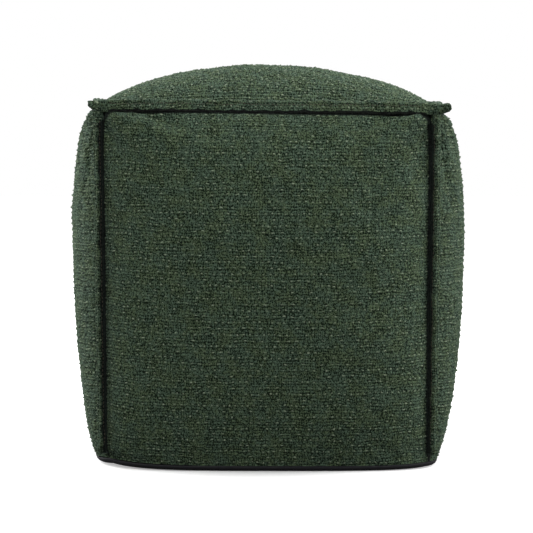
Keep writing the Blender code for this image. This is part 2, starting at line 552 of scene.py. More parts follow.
@dataclass(frozen=True)
class Wire:
    """What comes out of a node. Numbers on wires add, subtract, multiply and divide as plain numbers do."""

    graph: "Graph"
    socket: bpy.types.NodeSocket

    def __add__(self, other: "Input") -> "Wire":
        """The sum."""
        return self.graph.math("ADD", self, other)

    def __sub__(self, other: "Input") -> "Wire":
        """This less the other."""
        return self.graph.math("SUBTRACT", self, other)

    def __rsub__(self, other: float) -> "Wire":
        """A plain number less this."""
        return self.graph.math("SUBTRACT", other, self)

    def __mul__(self, other: "Input") -> "Wire":
        """The product."""
        return self.graph.math("MULTIPLY", self, other)

    def __truediv__(self, other: "Input") -> "Wire":
        """This over the other."""
        return self.graph.math("DIVIDE", self, other)


Input = Wire | float | str | tuple[float, ...]
Inputs = dict[str | int, Input]


class Graph:
    """Short calls that add and wire nodes in one shader or geometry tree."""

    def __init__(self, tree: bpy.types.NodeTree) -> None:
        """Keep the tree."""
        self.tree = tree

    def feed(self, node: bpy.types.Node, inputs: Inputs) -> None:
        """Fill a node's inputs, by name or number, with wires or plain values.

        Args:
            node: the node.
            inputs: its inputs' values, by name or number.
        """
        for key, value in inputs.items():
            if isinstance(value, Wire):
                self.tree.links.new(value.socket, node.inputs[key])
            else:
                node.inputs[key].default_value = value

    def node(self, kind: str, inputs: Inputs | None = None, **settings: object) -> bpy.types.Node:
        """Add a node.

        Args:
            kind: its type.
            inputs: wires and plain values for its inputs, by name or number.
            settings: its properties.

        Returns:
            The node.
        """
        made = self.tree.nodes.new(kind)
        for name, value in settings.items():
            setattr(made, name, value)
        self.feed(made, inputs or {})
        return made

    def out(self, node: bpy.types.Node, key: str | int = 0) -> Wire:
        """One output of a node, by name or number."""
        return Wire(self, node.outputs[key])

    def math(self, operation: str, first: Input, second: Input = 0.0, clamp: bool = False) -> Wire:
        """A Math node of two values."""
        made = self.node("ShaderNodeMath", {0: first, 1: second}, operation=operation, use_clamp=clamp)
        return self.out(made)

    def vector(self, operation: str, first: Input, second: Input) -> Wire:
        """The vector that a Vector Math node makes of two vectors."""
        return self.out(self.node("ShaderNodeVectorMath", {0: first, 1: second}, operation=operation))

    def measured(self, operation: str, first: Input, second: Input = (0.0, 0.0, 0.0)) -> Wire:
        """The number that a Vector Math node makes of its vectors."""
        made = self.node("ShaderNodeVectorMath", {0: first, 1: second}, operation=operation)
        return self.out(made, "Value")

    def scaled(self, vector: Wire, amount: Input) -> Wire:
        """A vector times a number."""
        return self.out(self.node("ShaderNodeVectorMath", {0: vector, "Scale": amount}, operation="SCALE"))

    def split(self, vector: Wire) -> list[Wire]:
        """The X, Y and Z of a vector."""
        made = self.node("ShaderNodeSeparateXYZ", {0: vector})
        return [self.out(made, axis) for axis in range(3)]

    def joined(self, x: Input, y: Input, z: Input = 0.0) -> Wire:
        """A vector of three values."""
        return self.out(self.node("ShaderNodeCombineXYZ", {0: x, 1: y, 2: z}))

    def stepped(
        self, value: Wire, low: float, high: float, to_low: float = 0.0, to_high: float = 1.0
    ) -> Wire:
        """A smooth step of a value from one range to another."""
        values = dict(enumerate((value, low, high, to_low, to_high)))
        return self.out(self.node("ShaderNodeMapRange", values, interpolation_type="SMOOTHSTEP"))

    def noise(self, vector: Wire, scale: float, detail: float = 0.0, rough: float = 0.5) -> tuple[Wire, Wire]:
        """Value and colour of a flat noise.

        Args:
            vector: where it is read.
            scale: waves to a unit.
            detail: finer waves.
            rough: their share.

        Returns:
            The value and the colour.
        """
        inputs = {"Vector": vector, "Scale": scale, "Detail": detail, "Roughness": rough}
        made = self.node("ShaderNodeTexNoise", inputs, noise_dimensions="2D")
        return self.out(made, 0), self.out(made, 1)

    def cells(self, vector: Wire, randomness: float) -> tuple[Wire, Wire]:
        """Distance and colour of flat cells, one to a unit.

        Args:
            vector: where they are read.
            randomness: how far they are scattered.

        Returns:
            The distance to the nearest cell's middle, and that cell's colour.
        """
        inputs = {"Vector": vector, "Scale": 1.0, "Randomness": randomness}
        made = self.node("ShaderNodeTexVoronoi", inputs, voronoi_dimensions="2D", feature="F1")
        return self.out(made, 0), self.out(made, 1)

    def chance(self, vector: Wire) -> Wire:
        """A random value for each vector."""
        return self.out(self.node("ShaderNodeTexWhiteNoise", {"Vector": vector}, noise_dimensions="2D"))

    def mixed(self, share: Input, first: Input, second: Input, blend: str = "MIX") -> Wire:
        """A colour between two colours.

        Args:
            share: how much of the second colour.
            first: a colour.
            second: another.
            blend: how the second acts on the first.

        Returns:
            The mixed colour.
        """
        made = self.node("ShaderNodeMix", data_type="RGBA", blend_type=blend)
        self.feed(made, {0: share, 6: first, 7: second})
        return self.out(made, 2)

    def object_place(self) -> Wire:
        """Object coordinates in millimetres."""
        return self.scaled(self.out(self.node("ShaderNodeTexCoord"), "Object"), 1 / MM)

    def bumped(self, height: Wire, strength: float, distance: float) -> Wire:
        """The normal that a Bump node makes of a height."""
        inputs = {"Height": height, "Strength": strength, "Distance": distance}
        return self.out(self.node("ShaderNodeBump", inputs))

    def camera_sees(self, seen: Wire, lit: Wire) -> Wire:
        """A shader for the camera's own rays, and another for all others."""
        ray = self.out(self.node("ShaderNodeLightPath"), "Is Camera Ray")
        return self.out(self.node("ShaderNodeMixShader", {0: ray, 1: lit, 2: seen}))


def new_group(name: str, kind: str, takes: dict[str, str], gives: dict[str, str]) -> Graph:
    """A node group with its sockets.

    Args:
        name: its name.
        kind: its type of tree.
        takes: its inputs' types by their names.
        gives: its outputs' types by their names.

    Returns:
        The group's graph.
    """
    tree = bpy.data.node_groups.new(name, kind)
    for way_through, sockets in (("INPUT", takes), ("OUTPUT", gives)):
        for label, carried in sockets.items():
            tree.interface.new_socket(label, in_out=way_through, socket_type=f"NodeSocket{carried}")
    return Graph(tree)


def new_material(name: str) -> tuple[bpy.types.Material, Graph, bpy.types.Node]:
    """A new material, its graph and its Principled shader.

    Args:
        name: its name.

    Returns:
        The material, its graph and its shader.
    """
    made = bpy.data.materials.new(name)
    made.use_nodes = True
    return made, Graph(made.node_tree), made.node_tree.nodes["Principled BSDF"]


@dataclass(frozen=True)
class Loft:
    """How far the cloth of one piece stands up."""

    depth: float = 1.0  # share of the weave's own depth
    lump: float = 0.6  # height of its uneven lumps, in depths
    cord: float = 0.0  # height of every second row, in depths


@dataclass(frozen=True)
class SpotRow:
    """Bright spots along one row of the weave's repeat. Sizes are in millimetres."""

    pitch: float
    turn: int  # which row of the repeat has them
    half_length: float
    half_width: float
    missing: float  # share of the spots that are left out


@dataclass(frozen=True)
class BoucleWeave:
    """The weave of the green cloth: rows of knots, rows of bright dots and dashes, and curled yarn.

    The same nodes raise the cloth's mesh and draw its colour, so both always agree. Sizes are in millimetres,
    and an edge is where a smooth step begins and ends.
    """

    row_pitch: float = 3.3
    rows_to_repeat: int = 4
    depth: float = 2.2
    drift_scale: float = 0.05
    wander: float = 3.2
    curl_scale: float = 0.30
    curliness: float = 1.6
    strand_curl: float = 2.0
    curl_size: float = 1.7
    loose_scale: float = 0.06
    loose_edge: tuple[float, float] = (0.35, 0.65)
    loose_lift: float = 0.35
    loose_calm: float = 0.45
    knot_pitch: float = 2.4
    knot_scatter: float = 0.5
    knot_least: float = 0.6
    knot_edge: tuple[float, float] = (0.58, 0.22)
    knot_shift: float = 40.0
    yarn_edge: tuple[float, float] = (0.17, 0.03)
    yarn_height: float = 0.5
    body_height: float = 0.62
    ridge_edge: tuple[float, float] = (0.5, 0.08)
    ridge_height: float = 0.08
    pit_pitch: float = 2.9
    pit_scatter: float = 0.7
    pit_edge: tuple[float, float] = (0.34, 0.12)
    pit_depth: float = 0.32
    dots: SpotRow = SpotRow(pitch=6.8, turn=0, half_length=1.45, half_width=1.05, missing=0.15)
    dashes: SpotRow = SpotRow(pitch=9.5, turn=2, half_length=2.3, half_width=0.8, missing=0.35)
    spot_sway: float = 0.3
    spot_edge: tuple[float, float] = (1.0, 0.35)
    spot_height: float = 0.34
    loop_height: float = 0.12
    lump_scale: float = 0.10
    cord_edge: tuple[float, float] = (0.45, 0.05)
    mean_height: float = 0.4
    seam_edge: tuple[float, float] = (0.0, 1.5)
    seam_least: float = 0.3
    knot_draw: float = 7.3
    spot_draw: float = 3.1

    def wire(self, graph: Graph, place: Wire) -> dict[str, Wire]:
        """Add the weave's nodes.

        Args:
            graph: the tree that takes them.
            place: the cloth map, in metres.

        Returns:
            "height", "fleck" and "tone", each between 0 and 1, and what can add to the height: "lump",
            around 0, and "cord", 1 along every second row.
        """
        flat = graph.scaled(place, 1 / MM)
        drift = graph.vector("SUBTRACT", graph.noise(flat, self.drift_scale)[1], (0.5, 0.5, 0.5))
        curl = graph.vector("SUBTRACT", graph.noise(flat, self.curl_scale, 1.0)[1], (0.5, 0.5, 0.5))
        loose = graph.stepped(graph.noise(flat, self.loose_scale)[0], *self.loose_edge)
        moved = graph.vector("ADD", flat, graph.scaled(drift, self.wander))
        moved = graph.vector("ADD", moved, graph.scaled(curl, self.curliness))
        x, y, _ = graph.split(moved)
        rows = y / self.row_pitch
        row = graph.math("FLOOR", rows)
        inside = graph.math("FRACT", rows) - 0.5
        shift = graph.chance(graph.joined(row, self.knot_draw)) * self.knot_shift
        far, tint = graph.cells(graph.joined(x / self.knot_pitch + shift, rows), self.knot_scatter)
        size = graph.split(tint)[0] * (1 - self.knot_least) + self.knot_least
        knot = graph.stepped(far, *self.knot_edge) * size
        strand = graph.vector("ADD", flat, graph.scaled(curl, self.strand_curl))
        band = graph.math("ABSOLUTE", graph.noise(strand, 1 / self.curl_size)[0] - 0.5)
        curled = graph.stepped(band, *self.yarn_edge) * (loose * self.loose_lift + self.yarn_height)
        pit = graph.cells(graph.scaled(strand, 1 / self.pit_pitch), self.pit_scatter)[0]
        spots = [self.spots(graph, x, inside, row, kind) for kind in (self.dots, self.dashes)]
        fleck = graph.math("MAXIMUM", *spots) * (1.0 - loose * self.loose_calm)
        ridge = graph.stepped(graph.math("ABSOLUTE", inside), *self.ridge_edge)
        height = graph.math("MAXIMUM", knot, curled) * self.body_height + ridge * self.ridge_height
        height = height - graph.stepped(pit, *self.pit_edge) * self.pit_depth
        height = graph.math("ADD", height, fleck * self.spot_height, clamp=True)
        lump = graph.noise(flat, self.lump_scale, 1.0)[0] - 0.5
        pair = graph.math("FRACT", rows * 0.5 + 0.25)
        cord = graph.stepped(graph.math("ABSOLUTE", pair - 0.5), *self.cord_edge)
        return {"height": height, "fleck": fleck, "tone": graph.split(tint)[1], "lump": lump, "cord": cord}

    def spots(self, graph: Graph, x: Wire, inside: Wire, row: Wire, kind: SpotRow) -> Wire:
        """Bright spots along every fourth row.

        Args:
            graph: the tree that takes the nodes.
            x: distance along the row.
            inside: place across the row, from -0.5 to 0.5.
            row: number of the row.
            kind: which spots.

        Returns:
            1 in the middle of a spot and 0 outside all of them.
        """
        along = x / kind.pitch + graph.chance(graph.joined(row, self.spot_draw))
        number = graph.math("FLOOR", along)
        luck = graph.chance(graph.joined(number, row))
        sway = (graph.chance(graph.joined(row, number)) - 0.5) * self.spot_sway
        offset = (graph.math("FRACT", along) - 0.5 - sway) * (kind.pitch / kind.half_length)
        across = inside * (self.row_pitch / kind.half_width)
        far = graph.math("SQRT", graph.math("POWER", offset, 2.0) + graph.math("POWER", across, 2.0))
        phase = graph.math("ABSOLUTE", graph.math("FLOORED_MODULO", row, self.rows_to_repeat) - kind.turn)
        own_row = graph.math("LESS_THAN", phase, 0.5)
        kept = graph.math("GREATER_THAN", luck, kind.missing)
        return graph.stepped(far, *self.spot_edge) * own_row * kept

    def relief(self) -> bpy.types.NodeTree:
        """A geometry node group that raises a mapped mesh into the weave, less beside its seams.

        Returns:
            The group, which takes a mesh and the sizes of a Loft.
        """
        lofts = dict.fromkeys(Loft.__dataclass_fields__, "Float")
        takes = {"Geometry": "Geometry", **lofts}
        graph = new_group("Boucle relief", "GeometryNodeTree", takes, {"Geometry": "Geometry"})
        given = graph.node("NodeGroupInput")
        depth, lump, cord = [graph.out(given, name) for name in lofts]
        place = graph.node("GeometryNodeInputNamedAttribute", {"Name": CLOTH_MAP}, data_type="FLOAT_VECTOR")
        seam = graph.node("GeometryNodeInputNamedAttribute", {"Name": SEAM_GAP}, data_type="FLOAT")
        parts = self.wire(graph, graph.out(place, "Attribute"))
        raised = parts["height"] + parts["fleck"] * self.loop_height
        raised = raised + parts["lump"] * lump + parts["cord"] * cord
        free = graph.stepped(graph.out(seam, "Attribute"), *self.seam_edge, self.seam_least, 1.0)
        amount = (raised - (cord * 0.5 + self.mean_height)) * depth * (self.depth * MM) * free
        offset = graph.scaled(graph.out(graph.node("GeometryNodeInputNormal"), "Normal"), amount)
        cloth = graph.out(given, "Geometry")
        moved = graph.node("GeometryNodeSetPosition", {"Geometry": cloth, "Offset": offset})
        graph.node("NodeGroupOutput", {"Geometry": graph.out(moved, "Geometry")})
        return graph.tree

    @staticmethod
    def raise_cloth(piece: bpy.types.Object, tree: bpy.types.NodeTree, loft: Loft) -> None:
        """Raise a mapped piece into the weave.

        Args:
            piece: a mesh with the cloth map and the seam gap.
            tree: the group from relief().
            loft: how far its cloth stands up.
        """
        modifier = piece.modifiers.new("Boucle relief", "NODES")
        modifier.node_group = tree
        for item in tree.interface.items_tree:
            if item.name in Loft.__dataclass_fields__:
                modifier[item.identifier] = getattr(loft, item.name)
        apply_modifiers(piece)


@dataclass(frozen=True)
class BoucleFinish:
    """Dark green boucle: near-black ground, darkened by painted shade in the weave's pits, grey-green yarn,
    olive and pale flecks, and painted shade along its seam creases.
    """

    weave: BoucleWeave
    name: str = "Green boucle"
    # near black: the dark ground yarn, deepened by painted shade in the weave's pits
    ground: Colour = (0.0040, 0.0092, 0.0040)
    yarn: Colour = (0.091, 0.139, 0.084)
    olive: Colour = (0.098, 0.141, 0.076)
    blue_green: Colour = (0.087, 0.136, 0.091)
    fleck: Colour = (0.270, 0.320, 0.225)
    # painted shade: multiplied into the colour along the seam creases, where the seam gap is small
    crease: Colour = (0.05, 0.05, 0.06)
    crease_edge: tuple[float, float] = (0.7, 1.3)
    patch_scale: float = 0.045
    small_scale: float = 0.24
    patch_share: float = 0.65
    yarn_edge: tuple[float, float] = (0.38, 0.50)
    olive_edge: tuple[float, float] = (0.50, 0.62)
    shade_edge: tuple[float, float] = (0.16, 0.46)
    fibre_scale: float = 0.45
    fibre_edge: tuple[float, float] = (0.25, 0.75)
    fibre_shade: tuple[float, float] = (0.45, 1.3)
    fibre_height: float = 0.35
    fleck_edge: tuple[float, float] = (0.3, 0.7)
    fleck_shade: tuple[float, float] = (0.45, 1.0)
    tone_least: float = 0.85
    tone_range: float = 0.3
    rough_edge: tuple[float, float] = (0.1, 0.8)
    roughness: tuple[float, float] = (1.0, 0.86)
    specular: float = 0.2
    sheen: float = 0.10
    sheen_roughness: float = 0.45
    sheen_tint: Colour = (0.62, 0.86, 0.74)
    bump: float = 0.35
    bump_depth: float = 0.0012

    def group(self) -> bpy.types.NodeTree:
        """The weave and its colours, with painted shade in its pits and seam creases, as a shader node group,
        from the cloth map and the seam gap.

        Returns:
            The group, which gives colour, height and roughness.
        """
        takes = {"Cloth map": "Vector", "Seam gap": "Float"}
        gives = {"Color": "Color", "Height": "Float", "Roughness": "Float"}
        graph = new_group(self.name + " weave", "ShaderNodeTree", takes, gives)
        given = graph.node("NodeGroupInput")
        parts = self.weave.wire(graph, graph.out(given, "Cloth map"))
        flat = graph.scaled(graph.out(given, "Cloth map"), 1 / MM)
        patches = graph.noise(flat, self.patch_scale, 1.0)[0]
        small = graph.noise(flat, self.small_scale)[0]
        hue = patches * self.patch_share + small * (1 - self.patch_share)
        dyed = graph.mixed(graph.stepped(hue, *self.yarn_edge), (*self.blue_green, 1), (*self.yarn, 1))
        dyed = graph.mixed(graph.stepped(hue, *self.olive_edge), dyed, (*self.olive, 1))
        fibre = graph.noise(flat, self.fibre_scale, 2.0, 0.7)[0]
        # the colour sinks to the ground where the weave is low: the ground yarn, darkened by painted shade in
        # the pits
        shade = graph.stepped(parts["height"], *self.shade_edge)
        shade = shade * graph.stepped(fibre, *self.fibre_edge, *self.fibre_shade)
        tone = parts["tone"] * self.tone_range + self.tone_least
        colour = graph.mixed(graph.math("MULTIPLY", shade, tone, clamp=True), (*self.ground, 1), dyed)
        pale = graph.stepped(fibre, *self.fleck_edge, *self.fleck_shade)
        pale = graph.math("MULTIPLY", parts["fleck"], pale, clamp=True)
        colour = graph.mixed(pale, colour, (*self.fleck, 1))
        # painted shade along the seam creases: the colour multiplied by the crease colour, fading out as the
        # seam gap grows
        shaded_colour = graph.mixed(1.0, colour, (*self.crease, 1), blend="MULTIPLY")
        unshaded_share = graph.stepped(graph.out(given, "Seam gap"), *self.crease_edge)
        made = {
            "Color": graph.mixed(unshaded_share, shaded_colour, colour),
            "Height": parts["height"] + fibre * self.fibre_height,
            "Roughness": graph.stepped(parts["height"], *self.rough_edge, *self.roughness),
        }
        graph.node("NodeGroupOutput", made)
        return graph.tree

    def material(self, group: bpy.types.NodeTree) -> bpy.types.Material:
        """The finish on a piece that has the cloth map and the seam gap.

        Args:
            group: the group from group().

        Returns:
            The material.
        """
        made, graph, shader = new_material(self.name)
        place = graph.out(graph.node("ShaderNodeUVMap", uv_map=CLOTH_MAP))
        seam = graph.out(graph.node("ShaderNodeAttribute", attribute_name=SEAM_GAP), "Fac")
        weave = graph.node("ShaderNodeGroup", node_tree=group)
        graph.feed(weave, {"Cloth map": place, "Seam gap": seam})
        inputs = {
            "Base Color": graph.out(weave, "Color"),
            "Roughness": graph.out(weave, "Roughness"),
            "Normal": graph.bumped(graph.out(weave, "Height"), self.bump, self.bump_depth),
            "Specular IOR Level": self.specular,
            "Sheen Weight": self.sheen,
            "Sheen Roughness": self.sheen_roughness,
            "Sheen Tint": (*self.sheen_tint, 1),
        }
        graph.feed(shader, inputs)
        return made


@dataclass(frozen=True)
class BlackClothFinish:
    """Smooth black cloth of a fine plain weave."""

    name: str = "Black base cloth"
    dark: Colour = (0.0045, 0.0045, 0.0060)
    light: Colour = (0.016, 0.016, 0.021)
    thread_pitch: float = 0.55  # in millimetres
    thread_level: float = 1.4
    cloud_scale: float = 0.12
    cloud_detail: float = 4.0
    cloud_edge: tuple[float, float] = (0.3, 0.7)
    roughness: tuple[float, float] = (0.68, 0.88)
    bump: float = 0.15
    bump_depth: float = 0.0002

    def material(self) -> bpy.types.Material:
        """The finish, on Object coordinates.

        Returns:
            The material.
        """
        made, graph, shader = new_material(self.name)
        place = graph.object_place()
        turn = 2 * math.pi / self.thread_pitch
        across, along, up = [graph.math("SINE", axis * turn) for axis in graph.split(place)]
        weave = (across + along) * (up + self.thread_level)
        inputs = {"Vector": place, "Scale": self.cloud_scale, "Detail": self.cloud_detail}
        cloud = graph.out(graph.node("ShaderNodeTexNoise", inputs))
        inputs = {
            "Base Color": graph.mixed(cloud, (*self.dark, 1), (*self.light, 1)),
            "Roughness": graph.stepped(cloud, *self.cloud_edge, *self.roughness),
            "Normal": graph.bumped(weave, self.bump, self.bump_depth),
        }
        graph.feed(shader, inputs)
        return made


@dataclass(frozen=True)
class ThreadFinish:
    """Dull brown-green sewing thread, twisted."""

    name: str = "Sewing thread"
    dark: Colour = (0.020, 0.016, 0.010)
    light: Colour = (0.085, 0.072, 0.048)
    twist_pitch: float = 0.8  # in millimetres
    twist_slant: float = 1.7
    roughness: float = 0.7
    bump: float = 0.4
    bump_depth: float = 0.0002

    def material(self) -> bpy.types.Material:
        """The finish, on Object coordinates.

        Returns:
            The material.
        """
        made, graph, shader = new_material(self.name)
        x, y, z = graph.split(graph.object_place())
        twist = graph.math("SINE", (x + y + z * self.twist_slant) * (2 * math.pi / self.twist_pitch))
        inputs = {
            "Base Color": graph.mixed(graph.stepped(twist, -1.0, 1.0), (*self.dark, 1), (*self.light, 1)),
            "Normal": graph.bumped(twist, self.bump, self.bump_depth),
            "Roughness": self.roughness,
        }
        graph.feed(shader, inputs)
        return made


COVER_CLOTH = {
    "quality": 6,
    "mass": 0.3,
    "tension_stiffness": 30,
    "compression_stiffness": 30,
    "shear_stiffness": 15,
    "bending_stiffness": 0.5,
    "use_pressure": True,
    "uniform_pressure_force": 4.0,
}


@dataclass
class Filling:
    """How the filling swells the cover: a closed cloth form under pressure, held at its seams."""

    form: PoufForm
    divisions: int = 36
    slack: float = 0.004
    lump: float = 0.0012
    lump_size: float = 0.075
    lump_spread: float = 0.7
    lump_waves: int = 9
    lump_seed: int = 11
    frames: int = 20
    most_move: float = 0.012
    held_below: float = 0.02
    moves: dict[PanelPlace, np.ndarray] = field(default_factory=dict)

    def swell(self) -> None:
        """Work out how far each place of each panel lies from the plain form."""
        mesh = bmesh.new()
        bmesh.ops.create_cube(mesh, size=2)
        bmesh.ops.subdivide_edges(mesh, edges=mesh.edges[:], cuts=self.divisions - 1, use_grid_fill=True)
        bmesh.ops.recalc_face_normals(mesh, faces=mesh.faces[:])
        data = finished(mesh, "filling")
        cube = mesh_points(data)
        plain, bulge = self.plain_places(cube)
        place_points(data, plain)
        normals = np.empty(len(data.vertices) * 3, np.float32)
        data.vertices.foreach_get("normal", normals)
        normals = normals.reshape(-1, 3)
        swollen = plain
        start = plain - normals * ((self.slack - self.lumps(plain)) * bulge)[:, None]
        moved = self.simulated(data, start, bulge) - start
        step = np.linalg.norm(moved, axis=1, keepdims=True)
        swollen = start + moved * np.minimum(1, self.most_move / np.maximum(step, TINY))
        outward = normals.astype(float)
        for panel in PanelPlace:
            moves = self.settled(panel, cube, swollen - plain, outward, bulge)
            self.moves[panel] = self.gathered(panel, cube, moves)
        middle = np.abs(self.moves[PanelPlace.FRONT]).max()
        LOG.info("filling: the front panel moves up to %.1f mm", middle / MM)

    def plain_places(self, cube: np.ndarray) -> tuple[np.ndarray, np.ndarray]:
        """Where the plain form has each point of a cube, and how free it is to bulge, from 0 to 1.

        Args:
            cube: the points of a cube from -1 to 1.

        Returns:
            World places, and 0 at the seams to 1 in a panel's middle.
        """
        places, bulge = np.zeros_like(cube), np.zeros(len(cube))
        floor = cube[:, 2] < -1 + TINY
        places[floor] = cube[floor] * self.form.seam_half_base
        places[floor, 2] = self.form.rim_radius
        for panel in PanelPlace:
            on = panel.holds(cube)
            a, b = panel.squares(cube[on])
            a, b = spread(a), spread(b)
            places[on] = panel.points(self.form, a, b)
            bulge[on] = np.sqrt(np.maximum((1 - a * a) * (1 - b * b), 0))
        return places, bulge

    def lumps(self, places: np.ndarray) -> np.ndarray:
        """Uneven filling: a soft bump field over the whole form.

        Args:
            places: world places.

        Returns:
            How far each place stands out.
        """
        rng = np.random.default_rng(self.lump_seed)
        total = np.zeros(len(places))
        for _ in range(self.lump_waves):
            heading = rng.normal(size=3)
            heading /= np.linalg.norm(heading)
            turn = 2 * math.pi / (self.lump_size * (self.lump_spread + rng.random()))
            total += np.sin(places @ heading * turn + rng.random() * 2 * math.pi)
        return total / math.sqrt(self.lump_waves) * self.lump

    def simulated(self, data: bpy.types.Mesh, start: np.ndarray, bulge: np.ndarray) -> np.ndarray:
        """Blow the form up as cloth.

        Args:
            data: the form's mesh.
            start: where its points begin.
            bulge: 0 at the points that are held.

        Returns:
            Where the points end.
        """
        place_points(data, start)
        piece = new_object("filling", data)
        held = piece.vertex_groups.new(name="seams")
        held.add([int(i) for i in np.flatnonzero(bulge < self.held_below)], 1.0, "REPLACE")
        cloth = piece.modifiers.new("Filling", "CLOTH")
        for name, value in COVER_CLOTH.items():
            setattr(cloth.settings, name, value)
        cloth.settings.vertex_group_mass = held.name
        cloth.settings.effector_weights.gravity = 0
        cloth.collision_settings.use_collision = False
        scene = bpy.context.scene
        for moment in range(1, self.frames + 1):
            scene.frame_set(moment)
        apply_modifiers(piece)
        ended = mesh_points(piece.data)
        scene.frame_set(1)
        bpy.data.objects.remove(piece)
        return ended

    @staticmethod
    def settled(
        panel: PanelPlace, cube: np.ndarray, moves: np.ndarray, outward: np.ndarray, bulge: np.ndarray
    ) -> np.ndarray:
        """Moves without their mean swell on one panel, so that the pouf keeps its size.

        Args:
            panel: the panel whose swell is taken out.
            cube: the cube's points, which say what lies on the panel.
            moves: how far each point went.
            outward: the form's normals.
            bulge: how free each point is.

        Returns:
            The moves, changed on this panel.
        """
        on = panel.holds(cube)
        swell = (moves[on] * outward[on]).sum(axis=1)
        share = (swell * bulge[on]).sum() / (bulge[on] ** 2).sum()
        kept = moves.copy()
        kept[on] -= outward[on] * (share * bulge[on])[:, None]
        return kept

    def gathered(self, panel: PanelPlace, cube: np.ndarray, moves: np.ndarray) -> np.ndarray:
        """One panel's moves as a square table, rows from b -1 to 1 and columns from a -1 to 1.

        Args:
            panel: which panel.
            cube: the points of a cube from -1 to 1.
            moves: how far each point went.

        Returns:
            The table of moves.
        """
        on = panel.holds(cube)
        a, b = panel.squares(cube[on])
        column = np.rint((a + 1) / 2 * self.divisions).astype(int)
        row = np.rint((b + 1) / 2 * self.divisions).astype(int)
        table = np.zeros((self.divisions + 1, self.divisions + 1, 3))
        table[row, column] = moves[on]
        return table

    def weights(self, places: np.ndarray) -> np.ndarray:
        """Smooth weights that read the tables at places from -1 to 1.

        Args:
            places: places from -1 to 1.

        Returns:
            A row for each place, with a weight for each line.
        """
        at = (unspread(places) + 1) / 2 * self.divisions
        first = np.clip(np.floor(at).astype(int), 0, self.divisions - 1)
        share = at - first
        shares = (
            (-share + 2 * share**2 - share**3) / 2,
            (2 - 5 * share**2 + 3 * share**3) / 2,
            (share + 4 * share**2 - 3 * share**3) / 2,
            (-(share**2) + share**3) / 2,
        )
        table = np.zeros((len(places), self.divisions + 1))
        for step, weight in enumerate(shares):
            column = np.clip(first + step - 1, 0, self.divisions)
            np.add.at(table, (np.arange(len(places)), column), weight)
        return table

    def moved(self, panel: PanelPlace, a: np.ndarray, b: np.ndarray) -> np.ndarray:
        """How far a panel's lines a by b lie from the plain form."""
        return np.einsum("ij,jkc,lk->ilc", self.weights(b), self.moves[panel], self.weights(a))


